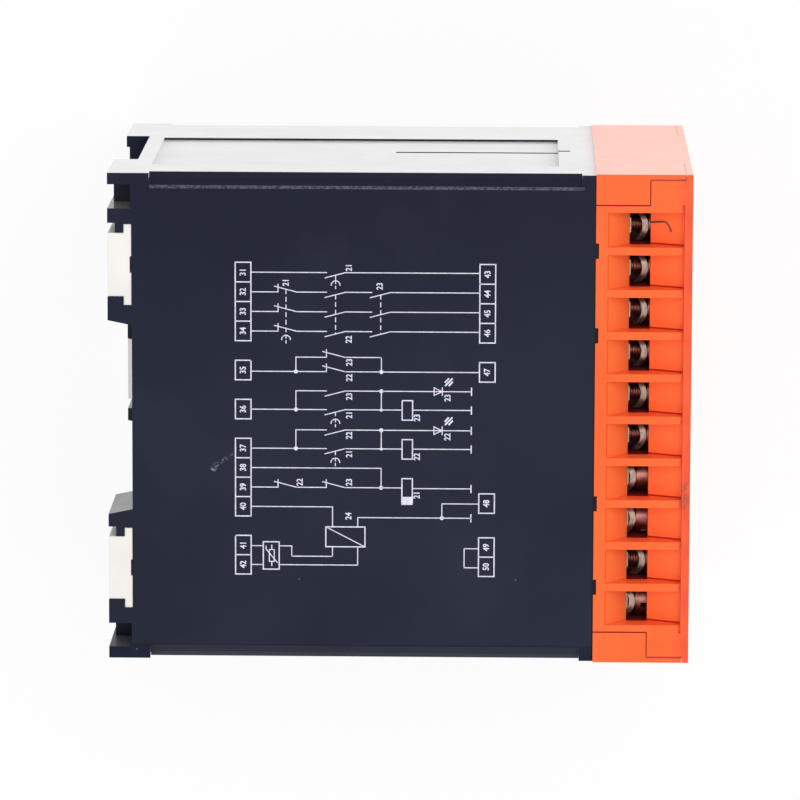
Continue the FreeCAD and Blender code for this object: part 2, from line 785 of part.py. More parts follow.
def make_terminals():
    """Twenty clamping washers and their screws, numbered from the right on each row."""
    pieces = []
    for row, top in enumerate((True, False)):
        for way in range(1, int(S.ways.value) + 1):
            number = row * int(S.ways.value) + way
            loose = way in LOOSE_WAYS_TOP or not top
            pieces.append(make_clamp(f"clamp_{number:02d}", way, top, loose))
            pieces.append(make_screw(f"screw_{number:02d}", way, top, loose))
    return pieces


def make_all():
    pieces = [
        make_housing(),
        make_front_cover(),
        make_terminal_strip("terminal_strip_top", True),
        make_terminal_strip("terminal_strip_bottom", False),
        make_latch("rail_latch_1", S.latch_offset, True),
        make_latch("rail_latch_2", -S.latch_offset, True),
        make_latch("rail_latch_3", sized(0), False),
        make_light_guide(),
        make_board("upper_board", True),
        make_board("lower_board", False),
        make_riser_card(),
        make_contact_plates("contact_plates_top", True),
        make_contact_plates("contact_plates_bottom", False),
        make_transformer(),
        make_capacitor(),
        make_varistor(),
    ]
    for index in range(3):
        low_x = S.relay_first + index * S.relay_pitch - S.relay_width / 2
        pieces.append(make_block(f"relay_{index + 1}", low_x, SEAM + S.relay_front_gap, S.relay_width,
                                 S.relay_length, S.relay_height))
    return pieces + make_terminals()


def check_document():
    """Stop on any failed feature and on any pocket that removes nothing."""
    for item in DOC.Objects:
        if "Invalid" in item.State or "Error" in item.State:
            raise RuntimeError(f"{item.Label} failed: {item.State}")
        if item.TypeId == "PartDesign::Pocket":
            if item.Shape.Volume > item.BaseFeature.Shape.Volume - 1e-6:
                raise RuntimeError(f"{item.Label} cuts nothing")


def export(pieces):
    os.makedirs("parts", exist_ok=True)
    for piece in pieces:
        if piece.Shape.isNull() or not piece.Shape.isValid():
            raise RuntimeError(f"{piece.Label} has no valid shape")
        piece.Shape.exportStep(f"parts/{piece.Label}.step")


PIECES = make_all()
DOC.recompute()
check_document()
export(PIECES)
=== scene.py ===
"""Looks of the safety relay: plastics, metal clamps, printed diagram, dirt, floor, light and camera."""
import json
import math

import bmesh
import bpy
from mathutils import Matrix, Vector
from mathutils.bvhtree import BVHTree


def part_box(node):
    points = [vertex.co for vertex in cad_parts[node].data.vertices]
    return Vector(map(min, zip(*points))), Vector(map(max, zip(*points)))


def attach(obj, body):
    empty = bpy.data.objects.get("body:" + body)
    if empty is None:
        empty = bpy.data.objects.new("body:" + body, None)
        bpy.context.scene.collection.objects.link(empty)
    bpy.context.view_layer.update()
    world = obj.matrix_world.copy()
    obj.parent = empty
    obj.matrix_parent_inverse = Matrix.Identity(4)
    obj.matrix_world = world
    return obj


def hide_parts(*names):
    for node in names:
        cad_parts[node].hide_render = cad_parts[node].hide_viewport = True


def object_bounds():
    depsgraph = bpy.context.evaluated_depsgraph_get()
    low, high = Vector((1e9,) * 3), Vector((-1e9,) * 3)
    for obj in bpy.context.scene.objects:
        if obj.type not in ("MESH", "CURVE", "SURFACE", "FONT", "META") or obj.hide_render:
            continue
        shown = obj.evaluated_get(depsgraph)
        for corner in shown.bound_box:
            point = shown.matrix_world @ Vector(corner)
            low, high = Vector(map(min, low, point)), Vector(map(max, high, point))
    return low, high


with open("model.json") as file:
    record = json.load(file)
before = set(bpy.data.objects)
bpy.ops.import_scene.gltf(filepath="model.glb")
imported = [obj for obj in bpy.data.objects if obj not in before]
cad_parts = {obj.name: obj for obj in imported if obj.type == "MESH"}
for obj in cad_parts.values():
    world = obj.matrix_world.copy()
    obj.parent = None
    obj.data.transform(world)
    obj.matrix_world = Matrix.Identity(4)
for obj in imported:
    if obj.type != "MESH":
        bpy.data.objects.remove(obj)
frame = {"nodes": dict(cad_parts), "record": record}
CAD_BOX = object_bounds()
MM = 0.001
ROOT = "module"

# places read from the frame, in metres
HOUSING_LOW, HOUSING_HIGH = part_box("housing")
STRIP_LOW, STRIP_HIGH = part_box("terminal_strip_top")
BACK_Y = HOUSING_HIGH[1]
FACE_Z = HOUSING_HIGH[2]
FRONT_Y = STRIP_LOW[1]
SEAM_Y = STRIP_HIGH[1]
HALF_HEIGHT = STRIP_HIGH[2] / 2
FRONT = FRONT_Y / MM
BLACK = (0.0, 0.0, 0.0, 1.0)
WHITE = (1.0, 1.0, 1.0, 1.0)

# places in millimetres; those of the wire entries are measured from the front face
ENTRY_PITCH = 7.75
ENTRY_HALF = 3.15
ENTRY_ROW_END = 38.8
ENTRY_FRONT = 1.4
ENTRY_BACK = 15.5
CHAMBER_FRONT = 7.52
CHAMBER_BACK = 11.33
CHAMBER_DROP = 4.2
REAR_FLOOR = 11.3
JOINT_STEP = 7.7
JOINT_INNER = 39.35
JOINT_OUTER = 44.0
JOINT_WIDTH = 0.3
# how far in from each end face the painted reflection reaches
SHEEN_DEPTH = 0.9
SEAM_SHADE = 0.28
CHAMFER_WIDTH = 2.6
BEVEL_SAMPLES = 4


# ---------------------------------------------------------------- materials
def new_material(name):
    """An empty node material and its node tree."""
    material = bpy.data.materials.new(name)
    material.use_nodes = True
    tree = material.node_tree
    tree.nodes.clear()
    return material, tree


def add_node(tree, kind, inputs=None, **settings):
    """Add a shader node; inputs maps a socket's name to a value or to another node's socket."""
    node = tree.nodes.new(f"ShaderNode{kind}")
    for key, value in settings.items():
        setattr(node, key, value)
    for key, value in (inputs or {}).items():
        socket = node.inputs[key]
        if isinstance(value, bpy.types.NodeSocket):
            tree.links.new(value, socket)
        else:
            socket.default_value = value
    return node


def srgb(red, green, blue):
    """Linear colour of an 8-bit sRGB one."""
    channels = []
    for value in (red, green, blue):
        value /= 255
        channels.append(value / 12.92 if value <= 0.04045 else ((value + 0.055) / 1.055) ** 2.4)
    return (*channels, 1.0)


def coordinates(tree):
    return add_node(tree, "TexCoord").outputs["Object"]


def noise(tree, scale, detail=3.0, vector=None):
    """Fractal noise between 0 and 1 over the object's own coordinates, scale in features a metre."""
    inputs = {"Vector": vector or coordinates(tree), "Scale": scale, "Detail": detail}
    return add_node(tree, "TexNoise", inputs).outputs["Fac"]


def remap(tree, value, low, high, to_low=0.0, to_high=1.0):
    inputs = {"Value": value, "From Min": low, "From Max": high, "To Min": to_low, "To Max": to_high}
    return add_node(tree, "MapRange", inputs).outputs["Result"]


def mix_colour(tree, factor, first, second):
    node = add_node(tree, "Mix", data_type="RGBA")
    for socket, value in ((node.inputs[0], factor), (node.inputs[6], first), (node.inputs[7], second)):
        if isinstance(value, bpy.types.NodeSocket):
            tree.links.new(value, socket)
        else:
            socket.default_value = value
    return node.outputs[2]


def math_node(tree, operation, first, second=0.0):
    node = add_node(tree, "Math", operation=operation)
    for socket, value in ((node.inputs[0], first), (node.inputs[1], second)):
        if isinstance(value, bpy.types.NodeSocket):
            tree.links.new(value, socket)
        else:
            socket.default_value = value
    return node.outputs[0]


def specks(tree, cells, radius, share):
    """Rare round specks: 1 inside a speck, 0 elsewhere; share is the part of the cells that have one."""
    cell = add_node(tree, "TexVoronoi", {"Vector": coordinates(tree), "Scale": cells})
    near = math_node(tree, "LESS_THAN", cell.outputs["Distance"], radius)
    chance = add_node(tree, "SeparateColor", {"Color": cell.outputs["Color"]}).outputs[0]
    chosen = math_node(tree, "LESS_THAN", chance, share)
    return math_node(tree, "MULTIPLY", near, chosen)


def patch(tree, centre, size, ragged):
    """Soft-edged patch round a point in the object's coordinates, broken up by noise."""
    offset = add_node(tree, "VectorMath", {0: coordinates(tree), 1: centre}, operation="SUBTRACT")
    scaled = add_node(tree, "VectorMath", {0: offset.outputs[0], 1: size}, operation="DIVIDE")
    length = add_node(tree, "VectorMath", {0: scaled.outputs[0]}, operation="LENGTH").outputs["Value"]
    inside = remap(tree, length, 1.0, 0.3)
    broken = remap(tree, noise(tree, ragged, 6.0), 0.45, 0.62)
    return math_node(tree, "MULTIPLY", inside, broken)


def axis(tree, index):
    """One of the object's own coordinates, in metres."""
    return add_node(tree, "SeparateXYZ", {"Vector": coordinates(tree)}).outputs[index]


def band(tree, value, low, high):
    """1 where a value lies between two limits, in millimetres."""
    above = math_node(tree, "GREATER_THAN", value, low * MM)
    return math_node(tree, "MULTIPLY", above, math_node(tree, "LESS_THAN", value, high * MM))


def all_of(tree, *factors):
    product = factors[0]
    for factor in factors[1:]:
        product = math_node(tree, "MULTIPLY", product, factor)
    return product


def finish_material(material, tree, colour, roughness, grain, depth, constants, edge=0.15, painted_sheen=None):
    """Close a material with fine grain, rounded edges and, where the sheen factor is 1, a pale sheen added
    over its colour as painted reflection.
    """
    rounded = add_node(tree, "Bevel", {"Radius": edge * MM}, samples=BEVEL_SAMPLES)
    height = noise(tree, grain, 4.0)
    bump = add_node(tree, "Bump", {"Height": height, "Strength": 0.6, "Distance": depth * MM,
                                   "Normal": rounded.outputs["Normal"]})
    shader = add_node(tree, "BsdfPrincipled", {"Base Color": colour, "Roughness": roughness,
                                               "Normal": bump.outputs["Normal"], **constants})
    surface = shader.outputs["BSDF"]
    # painted reflection: a pale sheen closure added on top of the material
    if painted_sheen is not None:
        pale = mix_colour(tree, painted_sheen, BLACK, WHITE)
        sheen = add_node(tree, "BsdfSheen", {"Color": pale, "Roughness": 0.3})
        surface = add_node(tree, "AddShader", {0: surface, 1: sheen.outputs[0]}).outputs[0]
    add_node(tree, "OutputMaterial", {"Surface": surface})
    return material


def side_film(tree):
    """1 on the two end faces, where an added pale sheen is painted reflection that stands in for their
    overexposure.
    """
    across = math_node(tree, "ABSOLUTE", axis(tree, 0))
    return math_node(tree, "GREATER_THAN", across, HOUSING_HIGH[0] - SHEEN_DEPTH * MM)


def printed_face(tree):
    """1 on the upper face of the shell."""
    return math_node(tree, "GREATER_THAN", axis(tree, 2), FACE_Z - 0.5 * MM)


def black_plastic():
    """Blue-black moulding with specks, cloudy tone, painted shade towards +X and along the seam, a painted
    highlight at the chamfer's foot and a scuff.
    """
    material, tree = new_material("black_plastic")
    tone = remap(tree, noise(tree, 45.0), 0.3, 0.7)
    colour = mix_colour(tree, tone, srgb(14, 20, 39), srgb(22, 28, 48))
    dust = specks(tree, 300.0, 0.05, 0.08)
    colour = mix_colour(tree, math_node(tree, "MULTIPLY", dust, 0.45), colour, srgb(150, 152, 166))
    # painted shade: the face gets darker and bluer towards +X
    painted_shade = math_node(tree, "MULTIPLY", remap(tree, axis(tree, 0), 0.0, 40.0 * MM), 0.85)
    colour = mix_colour(tree, painted_shade, colour, srgb(0, 6, 34))
    clouds = remap(tree, noise(tree, 38.0, 5.0), 0.52, 0.72, 0.0, 0.4)
    colour = mix_colour(tree, clouds, colour, srgb(34, 38, 56))
    # painted shade: dark band in the seam with the terminal strip and on the tabs beyond it
    painted_seam_shade = math_node(tree, "LESS_THAN", axis(tree, 1), SEAM_Y + SEAM_SHADE * MM)
    colour = mix_colour(tree, painted_seam_shade, colour, srgb(8, 4, 10))
    # painted highlight along the foot of the chamfer
    colour = mix_colour(tree, worn_edge(tree), colour, srgb(88, 88, 104))
    colour = mix_colour(tree, scuff(tree), colour, srgb(150, 152, 160))
    roughness = remap(tree, noise(tree, 120.0), 0.3, 0.7, 0.36, 0.46)
    left_edge = HOUSING_LOW[0] + CHAMFER_WIDTH * MM
    coat = remap(tree, axis(tree, 0), left_edge, left_edge + 0.3 * MM, 0.0, 0.8)
    return finish_material(material, tree, colour, roughness, 2600.0, 0.02,
                           {"IOR": 1.2, "Coat Weight": coat, "Coat Roughness": 0.12, "Coat IOR": 1.2,
                            "Sheen Weight": 0.2, "Sheen Roughness": 0.3}, painted_sheen=side_film(tree))


def worn_edge(tree):
    """Painted highlight: an uneven pale line along the foot of the upper chamfer at the right end."""
    foot = HOUSING_HIGH[0] / MM - 2.5
    line = band(tree, axis(tree, 0), foot - 0.25, foot + 0.3)
    length = band(tree, axis(tree, 1), HOUSING_LOW[1] / MM + 2.6, BACK_Y / MM - 7.7)
    uneven = remap(tree, noise(tree, 1900.0, 6.0), 0.36, 0.6, 0.2, 1.0)
    return all_of(tree, line, printed_face(tree), length, uneven)


def scuff(tree):
    """Slanting whitish scratch between the rail side and the printed boxes."""
    start = (-9.5 * MM, BACK_Y - 19.2 * MM, FACE_Z)
    turned = add_node(tree, "Mapping", {"Vector": coordinates(tree), "Location": start,
                                        "Rotation": (0.0, 0.0, math.radians(-47))}, vector_type="TEXTURE")
    place = add_node(tree, "SeparateXYZ", {"Vector": turned.outputs[0]})
    wander = remap(tree, noise(tree, 500.0, 5.0), 0.3, 0.7, -0.5 * MM, 0.5 * MM)
    off = math_node(tree, "ABSOLUTE", math_node(tree, "SUBTRACT", place.outputs[1], wander))
    narrow = remap(tree, off, 0.5 * MM, 0.05 * MM)
    along = remap(tree, place.outputs[0], 4.8 * MM, 0.0, 0.25, 1.0)
    inside = band(tree, place.outputs[0], -0.4, 5.2)
    broken = remap(tree, noise(tree, 2300.0, 5.0), 0.45, 0.66)
    return all_of(tree, narrow, along, inside, broken, printed_face(tree))


def orange_plastic():
    """Bright orange moulding, paler in the wire entries, with a darker rim, painted shade in the chambers
    and creases, dark joints widened with painted shadow, and specks.
    """
    material, tree = new_material("orange_plastic")
    tone = remap(tree, noise(tree, 70.0), 0.3, 0.7)
    colour = mix_colour(tree, tone, srgb(255, 95, 33), srgb(255, 106, 43))
    colour = mix_colour(tree, entry_depth(tree), colour, srgb(255, 112, 52))
    rear_floor = math_node(tree, "GREATER_THAN", axis(tree, 1), FRONT_Y + REAR_FLOOR * MM)
    colour = mix_colour(tree, all_of(tree, rear_floor, entry_depth(tree)), colour, srgb(255, 128, 68))
    rim = remap(tree, axis(tree, 1), FRONT_Y + 3.2 * MM, FRONT_Y + 0.9 * MM)
    upper = remap(tree, from_middle(tree), HALF_HEIGHT - 2.6 * MM, HALF_HEIGHT - 1.0 * MM)
    rim = all_of(tree, rim, upper, remap(tree, noise(tree, 160.0, 4.0), 0.3, 0.7, 0.35, 1.0))
    colour = mix_colour(tree, rim, colour, srgb(226, 76, 44))
    colour = mix_colour(tree, specks(tree, 330.0, 0.05, 0.06), colour, srgb(150, 66, 36))
    smudge_size = (4.5 * MM, 1.5 * MM, 3.0 * MM)
    smudge = patch(tree, (-14.0 * MM, FRONT_Y + 0.7 * MM, FACE_Z), smudge_size, 700.0)
    colour = mix_colour(tree, math_node(tree, "MULTIPLY", smudge, 0.6), colour, srgb(110, 70, 66))
    # dark joints, widened with painted shadow
    colour = mix_colour(tree, joint_lines(tree), colour, srgb(186, 44, 20))
    # painted shade in the creases at the rib feet
    colour = mix_colour(tree, creases(tree), colour, srgb(170, 30, 14))
    colour = mix_colour(tree, chamber(tree), colour, srgb(112, 28, 28))
    roughness = remap(tree, noise(tree, 160.0), 0.3, 0.7, 0.42, 0.52)
    return finish_material(material, tree, colour, roughness, 2200.0, 0.02,
                           {"Specular IOR Level": 0.3, "Subsurface Weight": 0.08,
                            "Subsurface Radius": (1.2 * MM, 0.5 * MM, 0.2 * MM), "Subsurface Scale": 1.0},
                           painted_sheen=side_film(tree))


def from_middle(tree):
    """Distance from the plane half-way up the unit, the same on both terminal strips."""
    offset = math_node(tree, "SUBTRACT", axis(tree, 2), HALF_HEIGHT)
    return math_node(tree, "ABSOLUTE", offset)


def entry_row(tree, drop, front, back):
    """1 under the entry faces, at least drop deep, between two distances from the front."""
    below = math_node(tree, "LESS_THAN", from_middle(tree), HALF_HEIGHT - drop * MM)
    across = math_node(tree, "ABSOLUTE", axis(tree, 0))
    rows = math_node(tree, "LESS_THAN", across, ENTRY_ROW_END * MM)
    depth = band(tree, axis(tree, 1), FRONT + front, FRONT + back)
    return all_of(tree, below, rows, depth)


def entry_depth(tree):
    """1 on the sloping floors of the wire entries."""
    return entry_row(tree, 0.4, ENTRY_FRONT, ENTRY_BACK)


def chamber(tree):
    """1 on the shadowed walls of the screw chambers under the entries."""
    return entry_row(tree, CHAMBER_DROP, CHAMBER_FRONT, CHAMBER_BACK)


def creases(tree):
    """Painted shade at the foot of each rib on the front floors of the wire entries."""
    first = 4.5 * ENTRY_PITCH + ENTRY_HALF
    shifted = math_node(tree, "ADD", axis(tree, 0), (first + ENTRY_PITCH) * MM)
    line = band(tree, math_node(tree, "MODULO", shifted, ENTRY_PITCH * MM), 0.03, 0.34)
    front = band(tree, axis(tree, 1), FRONT + 1.55, FRONT + 7.5)
    return all_of(tree, line, front, entry_depth(tree))


def joint_lines(tree):
    """Dark joint between terminal strip and cover, widened with painted shadow of the step beside it: out
    from the rear, a step, then on to the front.
    """
    across = math_node(tree, "ABSOLUTE", axis(tree, 0))
    outer = math_node(tree, "GREATER_THAN", from_middle(tree), HALF_HEIGHT - 0.3 * MM)
    y, step, half = axis(tree, 1), FRONT + JOINT_STEP, JOINT_WIDTH / 2
    rear = all_of(tree, band(tree, across, JOINT_INNER - half, JOINT_INNER + half),
                  band(tree, y, step, SEAM_Y / MM))
    front = all_of(tree, band(tree, across, JOINT_OUTER - half, JOINT_OUTER + half),
                   band(tree, y, FRONT + 1.2, step))
    turn = all_of(tree, band(tree, across, JOINT_INNER - 0.05, JOINT_OUTER),
                  band(tree, y, step - 0.1, step + 0.1))
    lines = math_node(tree, "MAXIMUM", math_node(tree, "MAXIMUM", rear, front), turn)
    return math_node(tree, "MULTIPLY", lines, outer)


def plain_plastic(name, dark, light, roughness, level=0.4, edge=0.15):
    material, tree = new_material(name)
    tone = remap(tree, noise(tree, 90.0), 0.3, 0.7)
    colour = mix_colour(tree, tone, dark, light)
    rough = remap(tree, noise(tree, 200.0), 0.3, 0.7, roughness - 0.05, roughness + 0.05)
    constants = {"Specular IOR Level": level}
    return finish_material(material, tree, colour, rough, 2400.0, 0.02, constants, edge)


def metal(name, dark, light, roughness, brushed=0.0, edge=0.1):
    """Plated metal with uneven tone; brushed adds fine lines along X."""
    material, tree = new_material(name)
    scale = (1.0, 1.0 + brushed, 1.0 + brushed)
    stretch = add_node(tree, "Mapping", {"Vector": coordinates(tree), "Scale": scale})
    grain = noise(tree, 700.0, 5.0, stretch.outputs["Vector"])
    colour = mix_colour(tree, remap(tree, grain, 0.3, 0.7), dark, light)
    rough = remap(tree, grain, 0.3, 0.7, roughness - 0.06, roughness + 0.08)
    return finish_material(material, tree, colour, rough, 3000.0, 0.01, {"Metallic": 1.0}, edge)


def clear_plastic():
    material, tree = new_material("clear_plastic")
    tone = remap(tree, noise(tree, 300.0), 0.3, 0.7)
    colour = mix_colour(tree, tone, srgb(226, 232, 226), srgb(240, 244, 240))
    rough = remap(tree, noise(tree, 900.0), 0.3, 0.7, 0.08, 0.14)
    return finish_material(material, tree, colour, rough, 1500.0, 0.005,
                           {"Transmission Weight": 0.55, "IOR": 1.49})


def circuit_board():
    """Green solder mask with paler copper tracks showing through."""
    material, tree = new_material("circuit_board")
    lanes = add_node(tree, "TexWave", {"Vector": coordinates(tree), "Scale": 160.0, "Distortion": 2.0},
                     bands_direction="X").outputs["Fac"]
    colour = mix_colour(tree, remap(tree, lanes, 0.75, 0.8), srgb(14, 74, 40), srgb(30, 108, 60))
    rough = remap(tree, noise(tree, 400.0), 0.3, 0.7, 0.3, 0.4)
    return finish_material(material, tree, colour, rough, 1800.0, 0.01, {"Specular IOR Level": 0.5})


def ink():
    """Pale print, slightly uneven."""
    material, tree = new_material("print_ink")
    tone = remap(tree, noise(tree, 1500.0), 0.35, 0.65)
    colour = mix_colour(tree, tone, srgb(206, 204, 222), srgb(232, 230, 244))
    constants = {"Specular IOR Level": 0.2}
    return finish_material(material, tree, colour, 0.55, 4000.0, 0.004, constants, 0.01)


MATERIALS = {
    "black_plastic": black_plastic(),
    "orange_plastic": orange_plastic(),
    "cream_plastic": plain_plastic("cream_plastic", srgb(229, 225, 220), srgb(237, 233, 228), 0.45),
    "clear_plastic": clear_plastic(),
    "board": circuit_board(),
    "tinned_brass": metal("tinned_brass", srgb(138, 126, 112), srgb(176, 164, 148), 0.38),
    "washer_steel": metal("washer_steel", srgb(122, 110, 98), srgb(192, 178, 162), 0.5, 1.0),
    "screw_steel": metal("screw_steel", srgb(122, 76, 72), srgb(172, 122, 112), 0.38),
    "transformer_potting": plain_plastic("transformer_potting", srgb(26, 26, 28), srgb(36, 36, 38), 0.5),
    "capacitor_sleeve": plain_plastic("capacitor_sleeve", srgb(20, 24, 46), srgb(28, 32, 58), 0.25),
    "varistor_coating": plain_plastic("varistor_coating", srgb(30, 66, 140), srgb(40, 80, 160), 0.4),
    "relay_case": plain_plastic("relay_case", srgb(206, 120, 36), srgb(220, 136, 48), 0.4),
}
INK = ink()
FIBRE = plain_plastic("fibre", srgb(58, 40, 44), srgb(84, 60, 62), 0.6)


def dress_frame():
    """Give every carried-over CAD node the material of its record slot."""
    for part in frame["record"]["subparts"]:
        node = frame["nodes"][part["node"]]
        if not node.material_slots:
            node.data.materials.append(None)
        for slot in node.material_slots:
            slot.material = MATERIALS[part["material_slot"]]


dress_frame()


# ---------------------------------------------------------------- turned screws and bent washers
THREAD_PITCH = 0.6
THREAD_RADIUS = 1.7
THREAD_DEPTH = 0.3
HEAD_HEIGHT = 2.2
WASHER_HALF = 3.05
WASHER_CUT = 1.6
WASHER_HOLE = 1.8
WASHER_ARCH = 1.5
WASHER_THICKNESS = 1.1


def grid_faces(mesh, rows, wrap=True):
    """Join neighbouring rows of vertices with quads; wrap closes each row into a ring."""
    for first, second in zip(rows, rows[1:]):
        count = len(first)
        for index in range(count if wrap else count - 1):
            after = (index + 1) % count
            mesh.faces.new([first[index], first[after], second[after], second[index]])


def ring(mesh, centre, radius_at, y_at, steps):
    """Ring of vertices round the Y axis through centre; radius and y are functions of the turn."""
    corners = []
    for step in range(steps):
        turn = 2 * math.pi * step / steps
        radius = radius_at(turn)
        x, z = radius * math.cos(turn), radius * math.sin(turn)
        corners.append(mesh.verts.new((centre[0] + x * MM, centre[1] + y_at(x) * MM, centre[2] + z * MM)))
    return corners


def place_piece(mesh, name, body, material):
    """Turn a bmesh into a smooth piece that stands for a CAD node and rides with its body."""
    bmesh.ops.recalc_face_normals(mesh, faces=mesh.faces)
    for face in mesh.faces:
        face.smooth = True
    data = bpy.data.meshes.new(name)
    mesh.to_mesh(data)
    mesh.free()
    data.set_sharp_from_angle(angle=math.radians(40))
    data.materials.append(MATERIALS[material])
    piece = bpy.data.objects.new(name, data)
    bpy.context.scene.collection.objects.link(piece)
    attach(piece, body)
    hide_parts(body)


def thread_radius(turn, along, length):
    """Radius of a V thread at a turn and a distance along it, tapered at the far end."""
    phase = (along / THREAD_PITCH - turn / (2 * math.pi)) % 1.0
    depth = THREAD_DEPTH * (1 - abs(2 * phase - 1))
    taper = max(0.0, along - (length - 0.7))
    return THREAD_RADIUS - depth - 0.6 * taper


def threaded_screw(name, steps=24, levels=8):
    """The CAD screw's slotted head with a real thread behind it."""
    node = frame["nodes"][name]
    low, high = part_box(name)
    mesh = bmesh.new()
    mesh.from_mesh(node.data)
    mesh.transform(node.matrix_world)
    under_head = low[1] + HEAD_HEIGHT * MM
    everything = mesh.verts[:] + mesh.edges[:] + mesh.faces[:]
    bmesh.ops.bisect_plane(mesh, geom=everything, dist=1e-7, plane_co=(0, under_head + 0.02 * MM, 0),
                           plane_no=(0, 1, 0), clear_outer=True)
    centre = ((low[0] + high[0]) / 2, under_head, (low[2] + high[2]) / 2)
    length = (high[1] - under_head) / MM
    count = round(length / THREAD_PITCH * levels)
    rows = []
    for level in range(count + 1):
        along = length * level / count
        rows.append(ring(mesh, centre, lambda turn: thread_radius(turn, along, length),
                         lambda x: along, steps))
    grid_faces(mesh, rows)
    mesh.faces.new(rows[-1])
    place_piece(mesh, f"{name}_threaded", name, "screw_steel")


def octagon_reach(turn):
    """Distance from the middle of a square washer with cut corners to its edge."""
    across, up = abs(math.cos(turn)), abs(math.sin(turn))
    side = WASHER_HALF / max(across, up)
    cut = (2 * WASHER_HALF - WASHER_CUT) / (across + up)
    return min(side, cut, WASHER_HALF * 1.06)


def washer_radius(turn, share):
    """Radius at a turn, from the hole (share 0) to the outer edge (share 1)."""
    return WASHER_HOLE + (octagon_reach(turn) - WASHER_HOLE) * share


def arch_drop(x):
    return WASHER_ARCH * abs(x / WASHER_HALF) ** 2


def bent_washer(name, steps=48, rings=4):
    """The clamping washer with its arch bent in a smooth curve."""
    low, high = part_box(name)
    centre = ((low[0] + high[0]) / 2, low[1], (low[2] + high[2]) / 2)
    mesh = bmesh.new()
    layers = []
    for lift in (0.0, WASHER_THICKNESS):
        rows = []
        for index in range(rings + 1):
            share = index / rings
            rows.append(ring(mesh, centre, lambda turn: washer_radius(turn, share),
                             lambda x: arch_drop(x) + lift, steps))
        grid_faces(mesh, rows)
        layers.append(rows)
    for index in (0, -1):
        grid_faces(mesh, [layers[0][index], layers[1][index]])
    place_piece(mesh, f"{name}_bent", name, "washer_steel")


def refine_terminals():
    for number in range(1, 21):
        threaded_screw(f"screw_{number:02d}")
        bent_washer(f"clamp_{number:02d}")


refine_terminals()


# ---------------------------------------------------------------- printed diagram
# millimetres on the printed face: u from the rail side towards the front, v along the rail
WIRE_WIDTH = 0.18
FRAME_WIDTH = 0.22
INK_HEIGHT = 0.02
INK_STEP = 0.0001
TEXT_SIZE = 1.55
FIRST_NUMBER = 31
ROW_PITCH = 3.6
FIRST_ROW = 26.8
BOX_WIDE = 2.85
LEFT_BOXES = 24.65
RIGHT_BOXES = 69.05
LEFT_END = LEFT_BOXES + BOX_WIDE / 2
RIGHT_END = RIGHT_BOXES - BOX_WIDE / 2
FIRST_COLUMN = 31.0
MIDDLE_COLUMN = 39.8
THIRD_COLUMN = 48.0
HINGE_REACH = 3.4
LEVER_DROP = 0.96
LEVER_MIDDLE = 1.65
COIL_HALF = 0.95
NUMBER_SHIFT = 4.2
DOT_RADIUS = 0.38
BRANCH_LEFT = 34.25
BRANCH_RIGHT = 49.8
COIL = 54.55
LIGHT = 60.15
WIRE_STOP = 66.2


def row(index):
    return FIRST_ROW - ROW_PITCH * index


class Print:
    """Flat strokes of ink on the printed face, each a hair above the one before."""

    def __init__(self):
        self.mesh = bmesh.new()
        self.height = INK_HEIGHT

    def point(self, u, v):
        return Vector((v * MM, BACK_Y - u * MM, FACE_Z + self.height * MM))

    def area(self, corners):
        """One filled convex patch of ink."""
        self.height += INK_STEP
        self.mesh.faces.new([self.mesh.verts.new(self.point(u, v)) for u, v in corners])

    def line(self, start, end, width=WIRE_WIDTH):
        along = Vector(end) - Vector(start)
        cap = along.normalized() * width / 2
        side = Vector((-cap.y, cap.x))
        a, b = Vector(start) - cap, Vector(end) + cap
        self.area([a - side, b - side, b + side, a + side])

    def path(self, points, width=WIRE_WIDTH):
        for start, end in zip(points, points[1:]):
            self.line(start, end, width)

    def box(self, u, v, wide, tall, width=FRAME_WIDTH):
        """Outline of a box with its centre at u, v."""
        a, b = wide / 2, tall / 2
        corners = [(u - a, v - b), (u + a, v - b), (u + a, v + b), (u - a, v + b)]
        self.path(corners + corners[:1], width)

    def dot(self, u, v, radius=DOT_RADIUS):
        turns = [2 * math.pi * step / 12 for step in range(12)]
        self.area([(u + radius * math.cos(turn), v + radius * math.sin(turn)) for turn in turns])

    def arc(self, u, v, radius, first, last, steps=8):
        turns = [math.radians(first + (last - first) * step / steps) for step in range(steps + 1)]
        self.path([(u + radius * math.cos(turn), v + radius * math.sin(turn)) for turn in turns])

    def dashes(self, u, high, low, dash=0.7, gap=0.7):
        """Broken line that runs down from high to low."""
        while high > low:
            self.line((u, high), (u, max(high - dash, low)))
            high -= dash + gap

    def number(self, value, u, v):
        """A plain number, read from the front of the unit."""
        curve = bpy.data.curves.new("number", "FONT")
        curve.body = str(value)
        curve.size = TEXT_SIZE
        curve.offset = 0.035
        curve.align_x = "CENTER"
        curve.align_y = "CENTER"
        curve.resolution_u = 3
        holder = bpy.data.objects.new("number", curve)
        shape = bpy.data.meshes.new_from_object(holder)
        start = len(self.mesh.verts)
        self.mesh.from_mesh(shape)
        self.mesh.verts.ensure_lookup_table()
        for vertex in self.mesh.verts[start:]:
            vertex.co = self.point(u - vertex.co.y, v + vertex.co.x * 0.88)
        bpy.data.objects.remove(holder)
        bpy.data.curves.remove(curve)
        bpy.data.meshes.remove(shape)

    def close(self, name):
        mesh = bpy.data.meshes.new(name)
        for face in self.mesh.faces:
            face.normal_update()
            if face.normal.z < 0:
                face.normal_flip()
        self.mesh.to_mesh(mesh)
        self.mesh.free()
        mesh.materials.append(INK)
        piece = bpy.data.objects.new(name, mesh)
        bpy.context.scene.collection.objects.link(piece)
        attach(piece, ROOT)
        return piece


def make_contact(drawing, u, v):
    """Open contact: the lever hangs below its stop; returns where the wire goes on."""
    hinge = u + HINGE_REACH
    drawing.line((u - 0.25, v - LEVER_DROP), (hinge, v))
    return hinge


